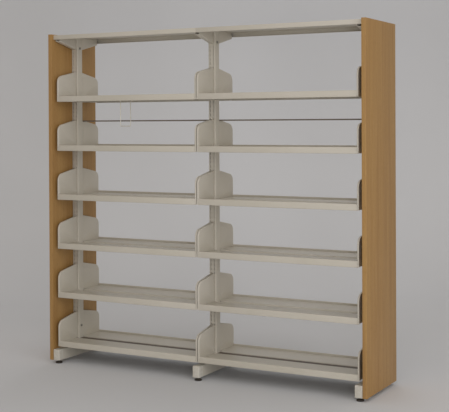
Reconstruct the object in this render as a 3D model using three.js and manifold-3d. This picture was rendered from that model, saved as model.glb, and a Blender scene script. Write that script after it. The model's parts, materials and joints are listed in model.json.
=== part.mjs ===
// Double sided library shelving: two bays of lift-off steel shelves hooked to both faces of three slotted
// uprights, on box legs with levelling glides, under a folded canopy and between two wood-faced end panels.
// Millimetres, +Z up, +X along the row, the front side towards -Y, origin on the floor under the middle.

import * as THREE from 'three';
import { mergeVertices } from 'three/addons/utils/BufferGeometryUtils.js';
import Module from 'manifold-3d';

const CLEARANCE = 0.3; // between pieces that touch or slide
const OVERLAP = 1; // how far joined solids run into each other, and cuts past a face
const ROUND_SIDES = 12;
const MERGE_DISTANCE = 1e-4;

// Uprights: square tube with a column of hook slots for each bay on the front and the rear face
const BAY = 985; // upright centre to upright centre
const UPRIGHT_WIDTH = 45;
const UPRIGHT_DEPTH = 50;
const UPRIGHT_WALL = 2;
const SLOT_COLUMN = 11.5; // from the upright's centre plane to a column of slots
const SLOT_PITCH = 25;

// Legs, foot caps and levelling glides
const LEG_HEIGHT = 66;
const LEG_WALL = 2.5;
const FOOT_REACH = 230; // from the centre plane to the front of a foot cap
const FOOT_LENGTH = 40;
const FOOT_CORNER = 5;
const SPIGOT_LENGTH = 25;
const GLIDE_HEIGHT = 20; // floor to the underside of the leg
const GLIDE_RADIUS = 21;
const GLIDE_DISC = 9;
const GLIDE_EDGE = 2;
const STEM_RADIUS = 5;
const STEM_COVER = 22; // top of the foot cap above the end of the stem
const STEM_SETBACK = 12; // from the stem to the back of the foot cap

// Shelf levels, counted from the base
const BASE_GAP = 16; // leg to the underside of the base shelf
const LEVELS = 6;
const SLOTS_PER_LEVEL = 12;

// Shelf tray: folded sheet with a raised front lip and edges turned in below
const SHELF_REACH = 210; // from the centre plane to the front of a shelf
const TRAY_SHEET = 1.2;
const SHELF_LIP = 35;
const LIP_RAISE = 12; // lip above the shelf's surface
const LIP_LEDGE = 9;
const TRAY_RETURN = 14;
const TRAY_BACK_GAP = 3; // upright to the back edge of a tray

// Shelf brackets: plates with a flange turned out along the front and the top, and two hooks
const BRACKET_PLATE = 2.5;
const BRACKET_HEIGHT = 190; // at the upright
const BRACKET_FRONT = 154; // where the top and front edges would meet
const BRACKET_RADIUS = 45;
const BRACKET_ARC_STEPS = 5;
const FLANGE_GAP = 1.25; // flange to the upright's centre plane
const FLANGE_SHEET = 2;
const HOOK_LOW = 30; // neck of the lower hook above the tray's underside
const HOOK_TOP_GAP = 12; // least height of plate above the upper hook
const HOOK_NECK = 8;
const HOOK_DROP = 7;
const HOOK_THICKNESS = 4;
const HOOK_ESCAPE = 1; // lift past the hook's drop that frees a shelf

// Canopy and the tapered arms that carry it
const TOP_SPACE = 381; // underside of the top shelf to the underside of the canopy's lip
const CANOPY_LIP = 27;
const CANOPY_SHEET = 1.5;
const CANOPY_RETURN = 12;
const CANOPY_REACH = 210;
const ARM_WIDTH = 30;
const ARM_SHEET = 2;
const ARM_ROOT = 78;
const ARM_TIP = 36;
const PLUG_LENGTH = 92; // part of the arm piece inside the upright

// End panels, as deep as the feet
const PANEL_THICKNESS = 25;
const PANEL_FLOOR_GAP = 20;
const PANEL_RISE = 5; // above the canopy
const PANEL_EDGE = 1.5;

// Bolts through the uprights
const BOLT_RADIUS = 4;
const BOLT_HEAD_RADIUS = 8;
const BOLT_HEAD = 5;
const BOLT_COVER = 11; // thickness of end panel past the end of a bolt
const CANOPY_BOLT_DROP = 68; // below the top of the arms
const PANEL_BOLT_RISE = 114; // above the leg

// Base spreaders, rods and the wire book support
const SPREADER_INSET = 5; // behind the upright's faces
const SPREADER_HEIGHT = 30;
const SPREADER_SHEET = 2;
const SPREADER_SINK = 3; // below the surface of the base shelves
const ROD_RADIUS = 4;
const ROD_REACH = 45; // from the centre plane
const ROD_LEVEL = 5;
const ROD_END = 6; // past the bracket plate
const WIRE_RADIUS = 2.5;
const WIRE_OFFSET = 444; // from the left upright
const WIRE_SPAN = 108;
const WIRE_DROP = 150;
const WIRE_BEND = 12;
const WIRE_STEPS = 48;
const WIRE_END_GAP = 3; // from the hooked ends to the tray's upright edges

// Heights and places that follow
const legTop = GLIDE_HEIGHT + LEG_HEIGHT;
const baseLevel = legTop + BASE_GAP;
const levelPitch = SLOT_PITCH * SLOTS_PER_LEVEL;
const topLevel = baseLevel + levelPitch * (LEVELS - 1);
const canopyTop = topLevel + TOP_SPACE + CANOPY_LIP;
const armTop = canopyTop - CANOPY_SHEET - CLEARANCE;
const uprightTop = armTop - ARM_SHEET - CLEARANCE;
const panelTop = canopyTop + PANEL_RISE;
const panelInner = BAY + UPRIGHT_WIDTH / 2 + CLEARANCE;
const canopyBoltHeight = armTop - CANOPY_BOLT_DROP;
const panelBoltHeight = legTop + PANEL_BOLT_RISE;
const bracketBack = UPRIGHT_DEPTH / 2 + CLEARANCE;
const trayBack = UPRIGHT_DEPTH / 2 + TRAY_BACK_GAP;
const trayUnderside = SHELF_LIP - LIP_RAISE;
const stemLength = LEG_HEIGHT - STEM_COVER;
const stemPlace = FOOT_LENGTH - STEM_SETBACK - FOOT_REACH;
const boltBite = PANEL_THICKNESS - BOLT_COVER;
const hookLift = HOOK_DROP + HOOK_ESCAPE;
const hookSlots = Math.floor((BRACKET_HEIGHT - HOOK_TOP_GAP - HOOK_NECK - HOOK_LOW) / SLOT_PITCH);
const hookHeights = [HOOK_LOW, HOOK_LOW + hookSlots * SLOT_PITCH];
const bracketSlope = Math.atan2(BRACKET_HEIGHT - BRACKET_FRONT, SHELF_REACH - bracketBack);
const wireMiddle = (SHELF_REACH + trayBack) / 2;
const wireSeat = TRAY_SHEET + CLEARANCE + WIRE_RADIUS;

const uprightPlaces = { left: -BAY, centre: 0, right: BAY };
const bayPlaces = { left: -BAY / 2, right: BAY / 2 };
const sideTurns = { front: 0, rear: Math.PI };
const endSigns = { left: -1, right: 1 };
// which way each upright's bays lie, seen along +X
const bayDirections = { left: [1], centre: [-1, 1], right: [-1] };

// Finishes
const CREAM_STEEL = { color: 0xd9d1bc, roughness: 0.5, metalness: 0.1 };
const OAK_LAMINATE = { color: 0xa9824f, roughness: 0.55, metalness: 0 };
const PALE_PLASTIC = { color: 0xcfcabd, roughness: 0.6, metalness: 0 };
const BLACK_PLASTIC = { color: 0x241f1c, roughness: 0.6, metalness: 0 };
const DARK_STEEL = { color: 0x38332e, roughness: 0.5, metalness: 0.4 };
const ZINC_STEEL = { color: 0x8f8c86, roughness: 0.4, metalness: 0.9 };
const WHITE_WIRE = { color: 0xe6e3da, roughness: 0.4, metalness: 0.1 };

// Joining and cutting
const wasm = await Module();
wasm.setup();

function solidOf(geometry) {
  const bare = geometry.clone();
  bare.deleteAttribute('normal');
  bare.deleteAttribute('uv');
  const merged = mergeVertices(bare, MERGE_DISTANCE);
  const vertProperties = new Float32Array(merged.attributes.position.array);
  const triVerts = new Uint32Array(merged.index.array);
  return new wasm.Manifold(new wasm.Mesh({ numProp: 3, vertProperties, triVerts }));
}

function geometryOf(solid) {
  const { vertProperties, triVerts } = solid.getMesh();
  const geometry = new THREE.BufferGeometry();
  geometry.setAttribute('position', new THREE.BufferAttribute(vertProperties, 3));
  geometry.setIndex(new THREE.BufferAttribute(triVerts, 1));
  return geometry;
}

function join(geometries) {
  return geometries.map(solidOf).reduce((whole, solid) => whole.add(solid));
}

function cut(solid, geometries) {
  return geometries.map(solidOf).reduce((whole, tool) => whole.subtract(tool), solid);
}

// A box between two corners
function block([x0, y0, z0], [x1, y1, z1]) {
  const box = new THREE.BoxGeometry(x1 - x0, y1 - y0, z1 - z0);
  return box.translate((x0 + x1) / 2, (y0 + y1) / 2, (z0 + z1) / 2);
}

// A shape drawn in Y and Z, drawn out along X from x0 to x1
const DRAW_TURN = new THREE.Matrix4().makeBasis(
  new THREE.Vector3(0, 1, 0),
  new THREE.Vector3(0, 0, 1),
  new THREE.Vector3(1, 0, 0),
);

function drawnAlongX(points, x0, x1) {
  const options = { depth: x1 - x0, bevelEnabled: false };
  const geometry = new THREE.ExtrudeGeometry(new THREE.Shape(points), options);
  return geometry.applyMatrix4(DRAW_TURN).translate(x0, 0, 0);
}

// A cylinder along X from x0 to x1
function rodAlongX(radius, x0, x1, y, z) {
  const geometry = new THREE.CylinderGeometry(radius, radius, x1 - x0, ROUND_SIDES);
  return geometry.rotateZ(Math.PI / 2).translate((x0 + x1) / 2, y, z);
}

// The outline of folded sheet whose outer face follows a line of points, with its thickness to the left
function foldedSheet(line, thickness) {
  const normals = line.slice(1).map((point, i) => {
    const along = point.clone().sub(line[i]).normalize();
    return new THREE.Vector2(-along.y, along.x);
  });
  const inner = line.map((point, i) => {
    const before = normals[Math.max(i - 1, 0)];
    const after = normals[Math.min(i, normals.length - 1)];
    const mitre = before.clone().add(after).multiplyScalar(thickness / (1 + before.dot(after)));
    return point.clone().add(mitre);
  });
  return [...line, ...inner.reverse()];
}

const at = (x, y) => new THREE.Vector2(x, y);
const rectangle = (halfX, halfY) => [
  at(-halfX, -halfY), at(halfX, -halfY), at(halfX, halfY), at(-halfX, halfY),
];
const inOrder = (a, b) => [Math.min(a, b), Math.max(a, b)];

// Uprights
function uprightGeometry(directions, boltHeights) {
  const halfWidth = UPRIGHT_WIDTH / 2;
  const halfDepth = UPRIGHT_DEPTH / 2;
  const boreDepth = halfDepth - UPRIGHT_WALL;
  const tube = new THREE.Shape(rectangle(halfWidth, halfDepth));
  tube.holes.push(new THREE.Path(rectangle(halfWidth - UPRIGHT_WALL, boreDepth).reverse()));
  const foot = legTop + CLEARANCE;
  const blank = new THREE.ExtrudeGeometry(tube, { depth: uprightTop - foot, bevelEnabled: false });
  const cuts = boltHeights.map((height) =>
    rodAlongX(BOLT_RADIUS + CLEARANCE, -UPRIGHT_WIDTH, UPRIGHT_WIDTH, 0, height));
  const slotHalf = BRACKET_PLATE / 2 + 2 * CLEARANCE;
  for (const direction of directions) {
    for (const face of [-1, 1]) {
      for (let level = 0; level < LEVELS; level += 1) {
        for (const hook of hookHeights) {
          const x = direction * SLOT_COLUMN;
          const bottom = baseLevel + level * levelPitch + hook - CLEARANCE;
          const top = bottom + HOOK_NECK + hookLift + 3 * CLEARANCE;
          const [inside, outside] = inOrder(face * (boreDepth - OVERLAP), face * (halfDepth + OVERLAP));
          cuts.push(block([x - slotHalf, inside, bottom], [x + slotHalf, outside, top]));
        }
      }
    }
  }
  return geometryOf(cut(solidOf(blank.translate(0, 0, foot)), cuts));
}

// Legs and feet
function legGeometry() {
  const halfWidth = UPRIGHT_WIDTH / 2;
  const halfLength = FOOT_REACH - FOOT_LENGTH - CLEARANCE;
  const outer = block([-halfWidth, -halfLength, GLIDE_HEIGHT], [halfWidth, halfLength, legTop]);
  const bore = block(
    [-halfWidth + LEG_WALL, -halfLength - OVERLAP, GLIDE_HEIGHT + LEG_WALL],
    [halfWidth - LEG_WALL, halfLength + OVERLAP, legTop - LEG_WALL],
  );
  return geometryOf(cut(solidOf(outer), [bore]));
}

function footCapGeometry() {
  const halfWidth = UPRIGHT_WIDTH / 2;
  const back = FOOT_LENGTH - FOOT_REACH;
  const front = -FOOT_REACH;
  const plan = new THREE.Shape();
  plan.moveTo(halfWidth, back);
  plan.lineTo(-halfWidth, back);
  plan.lineTo(-halfWidth, front + FOOT_CORNER);
  plan.absarc(-halfWidth + FOOT_CORNER, front + FOOT_CORNER, FOOT_CORNER, Math.PI, 1.5 * Math.PI);
  plan.absarc(halfWidth - FOOT_CORNER, front + FOOT_CORNER, FOOT_CORNER, 1.5 * Math.PI, 2 * Math.PI);
  const options = { depth: LEG_HEIGHT, bevelEnabled: false, curveSegments: 3 };
  const body = new THREE.ExtrudeGeometry(plan, options);
  const wall = LEG_WALL + CLEARANCE;
  const spigot = block(
    [-halfWidth + wall, back - OVERLAP, GLIDE_HEIGHT + wall],
    [halfWidth - wall, back + SPIGOT_LENGTH, legTop - wall],
  );
  const depth = stemLength + CLEARANCE + OVERLAP;
  const boreRadius = STEM_RADIUS + CLEARANCE;
  const bore = new THREE.CylinderGeometry(boreRadius, boreRadius, depth, ROUND_SIDES);
  bore.rotateX(Math.PI / 2).translate(0, stemPlace, GLIDE_HEIGHT - OVERLAP + depth / 2);
  return geometryOf(cut(join([body.translate(0, 0, GLIDE_HEIGHT), spigot]), [bore]));
}

function glideGeometry() {
  const profile = [
    at(0, 0),
    at(GLIDE_RADIUS - GLIDE_EDGE, 0),
    at(GLIDE_RADIUS, GLIDE_EDGE),
    at(GLIDE_RADIUS, GLIDE_DISC - GLIDE_EDGE),
    at(GLIDE_RADIUS - GLIDE_EDGE, GLIDE_DISC),
    at(STEM_RADIUS, (GLIDE_DISC + GLIDE_HEIGHT) / 2),
    at(STEM_RADIUS, GLIDE_HEIGHT + stemLength),
    at(0, GLIDE_HEIGHT + stemLength),
  ];
  return new THREE.LatheGeometry(profile, ROUND_SIDES).rotateX(Math.PI / 2).translate(0, stemPlace, 0);
}

// Shelf units, drawn for the front side with the middle of the bay at x = 0 and the tray's underside at 0
const topEdgeAt = (place) => BRACKET_HEIGHT - Math.tan(bracketSlope) * (place - bracketBack);
const onTopEdge = (place) => at(-place, topEdgeAt(place));

// The front edge and round corner of a bracket, from the bottom up, a little inside its outline
function bracketCorner(inset, bottom) {
  const arcX = BRACKET_RADIUS - SHELF_REACH;
  const arcZ = topEdgeAt(-arcX) - BRACKET_RADIUS / Math.cos(bracketSlope);
  const radius = BRACKET_RADIUS - inset;
  const arc = Array.from({ length: BRACKET_ARC_STEPS + 1 }, (_, step) => {
    const angle = Math.PI - (step / BRACKET_ARC_STEPS) * (Math.PI / 2 - bracketSlope);
    return at(arcX + radius * Math.cos(angle), arcZ + radius * Math.sin(angle));
  });
  return [at(inset - SHELF_REACH, bottom), ...arc];
}

function hookOutline(neck) {
  const inner = CLEARANCE + UPRIGHT_WALL - UPRIGHT_DEPTH / 2;
  const tip = inner + HOOK_THICKNESS;
  return [
    at(-bracketBack, neck + HOOK_NECK),
    at(tip, neck + HOOK_NECK),
    at(tip, neck - HOOK_DROP),
    at(inner, neck - HOOK_DROP),
    at(inner, neck),
    at(-bracketBack, neck),
  ];
}

function trayLine() {
  const front = -SHELF_REACH;
  return [
    at(front + TRAY_RETURN, 0),
    at(front, 0),
    at(front, SHELF_LIP),
    at(front + LIP_LEDGE, SHELF_LIP),
    at(front + LIP_LEDGE, trayUnderside),
    at(-trayBack, trayUnderside),
    at(-trayBack, 0),
    at(-trayBack - TRAY_RETURN, 0),
  ].reverse();
}

const plateOuter = BAY / 2 - SLOT_COLUMN + BRACKET_PLATE / 2;
const plateInner = plateOuter - BRACKET_PLATE;
const flangeOuter = BAY / 2 - FLANGE_GAP;
const rodHeight = topEdgeAt(ROD_REACH) - ROD_RADIUS;
const notchHalf = ROD_RADIUS + 2 * CLEARANCE;
const notchBottom = rodHeight - ROD_RADIUS - CLEARANCE;

// A tray between two brackets; the brackets that hold a rod are notched for it. The plates end half way
// through the thickness of their flanges and of the tray.
function shelfGeometry(holdsRod) {
  const inset = FLANGE_SHEET / 2;
  const bottom = TRAY_SHEET / 2;
  const plateEnd = onTopEdge(bracketBack).sub(at(0, inset / Math.cos(bracketSlope)));
  const notchFront = onTopEdge(ROD_REACH + notchHalf);
  const notchBack = onTopEdge(ROD_REACH - notchHalf);
  const notch = [
    at(notchFront.x, notchFront.y - inset), at(notchFront.x, notchBottom),
    at(notchBack.x, notchBottom), at(notchBack.x, notchBack.y - inset),
  ];
  const plate = [
    ...bracketCorner(inset, bottom),
    ...(holdsRod ? notch : []),
    plateEnd,
    ...hookHeights.toReversed().flatMap(hookOutline),
    at(-bracketBack, bottom),
  ].reverse();
  const rim = bracketCorner(0, 0).reverse();
  const flangeEnd = onTopEdge(bracketBack + FLANGE_SHEET);
  const flangeLines = holdsRod ? [[notchFront, ...rim], [flangeEnd, notchBack]] : [[flangeEnd, ...rim]];
  const tray = foldedSheet(trayLine(), TRAY_SHEET);
  const pieces = [drawnAlongX(tray, -plateInner - OVERLAP, plateInner + OVERLAP)];
  for (const end of [-1, 1]) {
    const plateMiddle = end * (plateInner + plateOuter) / 2;
    pieces.push(drawnAlongX(plate, ...inOrder(end * plateInner, end * plateOuter)));
    for (const line of flangeLines) {
      const flange = foldedSheet(line, FLANGE_SHEET);
      pieces.push(drawnAlongX(flange, ...inOrder(plateMiddle, end * flangeOuter)));
    }
  }
  return geometryOf(join(pieces));
}

function rodGeometry() {
  const half = plateOuter + ROD_END;
  return rodAlongX(ROD_RADIUS, -half, half, -ROD_REACH, rodHeight);
}

// A wire hung from the edges turned in under a tray: down, across and up again, with both ends turned out
function wireGeometry() {
  const frontLeg = -wireMiddle - WIRE_SPAN / 2;
  const rearLeg = -wireMiddle + WIRE_SPAN / 2;
  const frontEnd = TRAY_SHEET + WIRE_END_GAP - SHELF_REACH;
  const rearEnd = -trayBack - TRAY_SHEET - WIRE_END_GAP;
  const corners = [
    at(frontEnd, wireSeat), at(frontLeg, wireSeat), at(frontLeg, -WIRE_DROP),
    at(rearLeg, -WIRE_DROP), at(rearLeg, wireSeat), at(rearEnd, wireSeat),
  ].map((corner) => new THREE.Vector3(0, corner.x, corner.y));
  const path = new THREE.CurvePath();
  let start = corners[0];
  for (let i = 1; i < corners.length - 1; i += 1) {
    const before = corners[i - 1].clone().sub(corners[i]).setLength(WIRE_BEND).add(corners[i]);
    const after = corners[i + 1].clone().sub(corners[i]).setLength(WIRE_BEND).add(corners[i]);
    path.add(new THREE.LineCurve3(start, before));
    path.add(new THREE.QuadraticBezierCurve3(before, corners[i], after));
    start = after;
  }
  path.add(new THREE.LineCurve3(start, corners.at(-1)));
  const section = new THREE.Shape().absarc(0, 0, WIRE_RADIUS, 0, 2 * Math.PI);
  return new THREE.ExtrudeGeometry(section, { steps: WIRE_STEPS, curveSegments: 4, extrudePath: path });
}

// Canopy
function canopyGeometry(sign) {
  const lipBottom = canopyTop - CANOPY_LIP;
  const line = [
    at(CANOPY_REACH - CANOPY_RETURN, lipBottom),
    at(CANOPY_REACH, lipBottom),
    at(CANOPY_REACH, canopyTop),
    at(-CANOPY_REACH, canopyTop),
    at(-CANOPY_REACH, lipBottom),
    at(CANOPY_RETURN - CANOPY_REACH, lipBottom),
  ];
  const [x0, x1] = inOrder(sign * CLEARANCE, sign * (panelInner - CLEARANCE));
  return drawnAlongX(foldedSheet(line, CANOPY_SHEET), x0, x1);
}

function canopyBracketGeometry() {
  const half = ARM_WIDTH / 2;
  const reach = CANOPY_REACH - CANOPY_RETURN - CLEARANCE;
  const plugWidth = UPRIGHT_WIDTH / 2 - UPRIGHT_WALL - CLEARANCE;
  const plugDepth = UPRIGHT_DEPTH / 2 - UPRIGHT_WALL - CLEARANCE;
  const pieces = [
    block([-half, -reach, armTop - ARM_SHEET], [half, reach, armTop]),
    block([-plugWidth, -plugDepth, armTop - PLUG_LENGTH], [plugWidth, plugDepth, armTop - ARM_SHEET / 2]),
  ];
  for (const side of [-1, 1]) {
    const root = side * bracketBack;
    const tip = side * reach;
    const web = [at(root, armTop), at(root, armTop - ARM_ROOT), at(tip, armTop - ARM_TIP), at(tip, armTop)];
    const sole = [
      at(root, armTop - ARM_ROOT + ARM_SHEET), at(root, armTop - ARM_ROOT),
      at(tip, armTop - ARM_TIP), at(tip, armTop - ARM_TIP + ARM_SHEET),
    ];
    pieces.push(drawnAlongX(web, -half, -half + ARM_SHEET));
    pieces.push(drawnAlongX(web, half - ARM_SHEET, half));
    pieces.push(drawnAlongX(sole, -half, half));
  }
  const hole = rodAlongX(BOLT_RADIUS + CLEARANCE, -UPRIGHT_WIDTH, UPRIGHT_WIDTH, 0, canopyBoltHeight);
  return geometryOf(cut(join(pieces), [hole]));
}

// End panels and bolts
function panelGeometry(sign) {
  const half = FOOT_REACH - PANEL_EDGE;
  const face = new THREE.Shape([
    at(-half, PANEL_FLOOR_GAP + PANEL_EDGE), at(half, PANEL_FLOOR_GAP + PANEL_EDGE),
    at(half, panelTop - PANEL_EDGE), at(-half, panelTop - PANEL_EDGE),
  ]);
  const board = new THREE.ExtrudeGeometry(face, {
    depth: PANEL_THICKNESS - 2 * PANEL_EDGE,
    bevelThickness: PANEL_EDGE,
    bevelSize: PANEL_EDGE,
    bevelSegments: 2,
  });
  const [inner] = inOrder(sign * panelInner, sign * (panelInner + PANEL_THICKNESS));
  board.applyMatrix4(DRAW_TURN).translate(inner + PANEL_EDGE, 0, 0);
  const holes = [canopyBoltHeight, panelBoltHeight].map((height) => {
    const [x0, x1] = inOrder(sign * (panelInner - OVERLAP), sign * (panelInner + boltBite + CLEARANCE));
    return rodAlongX(BOLT_RADIUS + CLEARANCE, x0, x1, 0, height);
  });
  return geometryOf(cut(solidOf(board), holes));
}

// A bolt along X with its head on the +X side; a through bolt has a nut of the same size on the other
function boltGeometry(isThrough) {
  const headFace = UPRIGHT_WIDTH / 2 + CLEARANCE;
  const bevel = BOLT_HEAD / 2;
  const head = [
    at(BOLT_HEAD_RADIUS, headFace), at(BOLT_HEAD_RADIUS, headFace + bevel),
    at(BOLT_HEAD_RADIUS - bevel, headFace + BOLT_HEAD), at(0, headFace + BOLT_HEAD),
  ];
  const nut = head.map((corner) => at(corner.x, -corner.y)).reverse();
  const tip = -headFace - boltBite;
  const point = [at(0, tip), at(BOLT_RADIUS, tip)];
  const start = isThrough ? [...nut, at(BOLT_RADIUS, -headFace)] : point;
  const profile = [...start, at(BOLT_RADIUS, headFace), ...head];
  return new THREE.LatheGeometry(profile, ROUND_SIDES).rotateZ(-Math.PI / 2);
}

function spreaderGeometry() {
  const half = BAY / 2 - UPRIGHT_WIDTH / 2 - CLEARANCE;
  const top = baseLevel + trayUnderside - SPREADER_SINK;
  const depth = UPRIGHT_DEPTH / 2 - SPREADER_INSET;
  const line = [
    at(depth, top - SPREADER_HEIGHT), at(depth, top), at(-depth, top), at(-depth, top - SPREADER_HEIGHT),
  ];
  return drawnAlongX(foldedSheet(line, SPREADER_SHEET), -half, half);
}

// Assembly
const shelving = new THREE.Group();

function add(parent, name, geometry, finish) {
  const mesh = new THREE.Mesh(geometry, new THREE.MeshStandardMaterial(finish));
  mesh.name = name;
  parent.add(mesh);
  return mesh;
}

function groupAt(parent, x, z = 0, turn = 0) {
  const group = new THREE.Group();
  group.position.set(x, 0, z);
  group.rotation.z = turn;
  parent.add(group);
  return group;
}

for (const [name, x] of Object.entries(uprightPlaces)) {
  const station = groupAt(shelving, x);
  const isEnd = name in endSigns;
  const boltHeights = isEnd ? [canopyBoltHeight, panelBoltHeight] : [canopyBoltHeight];
  add(station, `upright_${name}`, uprightGeometry(bayDirections[name], boltHeights), CREAM_STEEL);
  add(station, `leg_${name}`, legGeometry(), CREAM_STEEL);
  add(station, `canopy_bracket_${name}`, canopyBracketGeometry(), CREAM_STEEL);
  for (const [side, turn] of Object.entries(sideTurns)) {
    const end = groupAt(station, 0, 0, turn);
    add(end, `foot_cap_${name}_${side}`, footCapGeometry(), PALE_PLASTIC);
    add(end, `glide_${name}_${side}`, glideGeometry(), BLACK_PLASTIC);
  }
  const boltTurn = name === 'right' ? Math.PI : 0;
  const canopyBolt = groupAt(station, 0, canopyBoltHeight, boltTurn);
  add(canopyBolt, `canopy_bolt_${name}`, boltGeometry(!isEnd), ZINC_STEEL);
  if (isEnd) {
    const panelBolt = groupAt(station, 0, panelBoltHeight, boltTurn);
    add(panelBolt, `panel_bolt_${name}`, boltGeometry(false), ZINC_STEEL);
    add(shelving, `end_panel_${name}`, panelGeometry(endSigns[name]), OAK_LAMINATE);
  }
}

const plainShelf = shelfGeometry(false);
const rodShelf = shelfGeometry(true);
for (const [bayName, x] of Object.entries(bayPlaces)) {
  const bay = groupAt(shelving, x);
  add(bay, `base_spreader_${bayName}`, spreaderGeometry(), DARK_STEEL);
  add(shelving, `canopy_${bayName}`, canopyGeometry(endSigns[bayName]), CREAM_STEEL);
  for (const [side, turn] of Object.entries(sideTurns)) {
    for (let level = 1; level <= LEVELS; level += 1) {
      const shelf = groupAt(bay, 0, baseLevel + (level - 1) * levelPitch, turn);
      const holdsRod = side === 'rear' && level === ROD_LEVEL;
      const unit = holdsRod ? rodShelf : plainShelf;
      add(shelf, `shelf_${bayName}_${side}_${level}`, unit.clone(), CREAM_STEEL);
      if (holdsRod) {
        add(shelf, `rod_${bayName}`, rodGeometry(), DARK_STEEL);
      }
    }
  }
}
const wireShelf = groupAt(shelving, WIRE_OFFSET - BAY, topLevel);
add(wireShelf, 'wire_book_support', wireGeometry(), WHITE_WIRE);

export default shelving;
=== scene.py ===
"""Double sided library shelving in cream enamelled steel, between two oak veneered end panels.

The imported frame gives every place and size. This script dresses it: folded trays with flanged brackets,
slotted uprights, moulded feet, bolts, rods and a wire book support, each riding on its own body.
"""

from __future__ import annotations

import json
import logging
import math
from dataclasses import dataclass
from enum import Enum
from typing import Iterable, Sequence

import bmesh
import bpy
from mathutils import Matrix, Vector

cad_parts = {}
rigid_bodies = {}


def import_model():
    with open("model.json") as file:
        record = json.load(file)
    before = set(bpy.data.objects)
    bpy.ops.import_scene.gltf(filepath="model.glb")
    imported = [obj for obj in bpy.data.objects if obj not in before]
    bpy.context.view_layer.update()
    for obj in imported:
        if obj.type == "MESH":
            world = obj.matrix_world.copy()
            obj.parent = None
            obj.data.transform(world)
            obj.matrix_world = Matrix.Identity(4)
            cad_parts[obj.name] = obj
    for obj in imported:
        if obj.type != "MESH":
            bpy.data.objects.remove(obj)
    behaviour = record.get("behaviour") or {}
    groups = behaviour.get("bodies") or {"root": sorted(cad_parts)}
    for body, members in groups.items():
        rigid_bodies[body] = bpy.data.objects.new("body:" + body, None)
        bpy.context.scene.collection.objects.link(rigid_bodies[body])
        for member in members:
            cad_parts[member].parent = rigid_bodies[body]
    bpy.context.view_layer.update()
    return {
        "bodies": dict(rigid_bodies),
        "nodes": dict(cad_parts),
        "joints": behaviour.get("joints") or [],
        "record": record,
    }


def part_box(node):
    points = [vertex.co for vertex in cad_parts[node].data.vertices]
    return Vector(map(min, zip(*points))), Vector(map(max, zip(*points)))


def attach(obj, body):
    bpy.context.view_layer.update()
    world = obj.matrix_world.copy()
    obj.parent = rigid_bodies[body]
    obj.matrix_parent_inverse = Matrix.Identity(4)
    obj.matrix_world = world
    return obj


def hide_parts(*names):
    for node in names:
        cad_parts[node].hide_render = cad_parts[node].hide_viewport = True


Material = bpy.types.Material
Mesh = bpy.types.Mesh
Node = bpy.types.Node
Socket = bpy.types.NodeSocket
Tree = bpy.types.NodeTree

MM = 0.001
# between pieces that touch, and between an upright and the back of a tray
GAP = 0.3 * MM
BACK_GAP = 3 * MM
# points closer than these are one point, in a drawn mesh and in a grown one
MERGE = 0.01 * MM
WELD = 0.02 * MM
# edges sharper than these stay sharp on sheet, on blocks and on round work, in degrees
SHEET_ANGLE = 35.0
BLOCK_ANGLE = 40.0
ROUND_ANGLE = 60.0
# the edges of a cut sheet are eased where they turn by more than this, in degrees
CUT_ANGLE = 50.0
CUT_STEPS = 2
FOLD_STEPS = 4
WIRE_SIDES = 16
WIRE_BEND_STEPS = 8
# nearly all of a noise lies between these values
NOISE_RANGE = (0.3, 0.7)
RELIEF_STRENGTH = 0.5
# the sockets of a mix of colours: its share, the two colours and the result
MIX_SHARE, MIX_UNDER, MIX_OVER, MIX_RESULT = 0, 6, 7, 2
IMAGE_WIDTH = 449
LEVELS = range(1, 7)
ROD_LEVEL = 5
LOG = logging.getLogger("shelving")


class Post(Enum):
    """The three uprights of the row."""

    LEFT = "left"
    CENTRE = "centre"
    RIGHT = "right"


class Bay(Enum):
    """The two bays of the row."""

    LEFT = "left"
    RIGHT = "right"


class Side(Enum):
    """The two faces that shelves hang on."""

    FRONT = "front"
    REAR = "rear"

    @property
    def turn(self) -> Matrix:
        """The turn about Z that takes a front piece to this side."""
        return Matrix.Rotation(0.0 if self is Side.FRONT else math.pi, 4, "Z")


def linear(code: str) -> tuple[float, float, float, float]:
    """Turns an sRGB hex colour into linear RGBA.

    Args:
        code: six hex digits with a leading mark.

    Returns:
        The linear colour with full alpha.
    """
    levels = [int(code[i:i + 2], 16) / 255 for i in (1, 3, 5)]
    channels = [v / 12.92 if v <= 0.04045 else ((v + 0.055) / 1.055) ** 2.4 for v in levels]
    return (*channels, 1.0)


def add_node(tree: Tree, kind: str, links: dict | None = None, **settings: object) -> Node:
    """Adds a node with its settings, values and links.

    Args:
        tree: the node tree that takes the node.
        kind: the node's type name.
        links: input name or index, to a plain value or what feeds it: a socket, or a node's first output.
        **settings: the node's own properties.

    Returns:
        The new node.
    """
    node = tree.nodes.new(kind)
    for name, value in settings.items():
        setattr(node, name, value)
    for name, value in (links or {}).items():
        if isinstance(value, Node):
            value = value.outputs[0]
        if isinstance(value, Socket):
            tree.links.new(value, node.inputs[name])
        else:
            node.inputs[name].default_value = value
    return node


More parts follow.
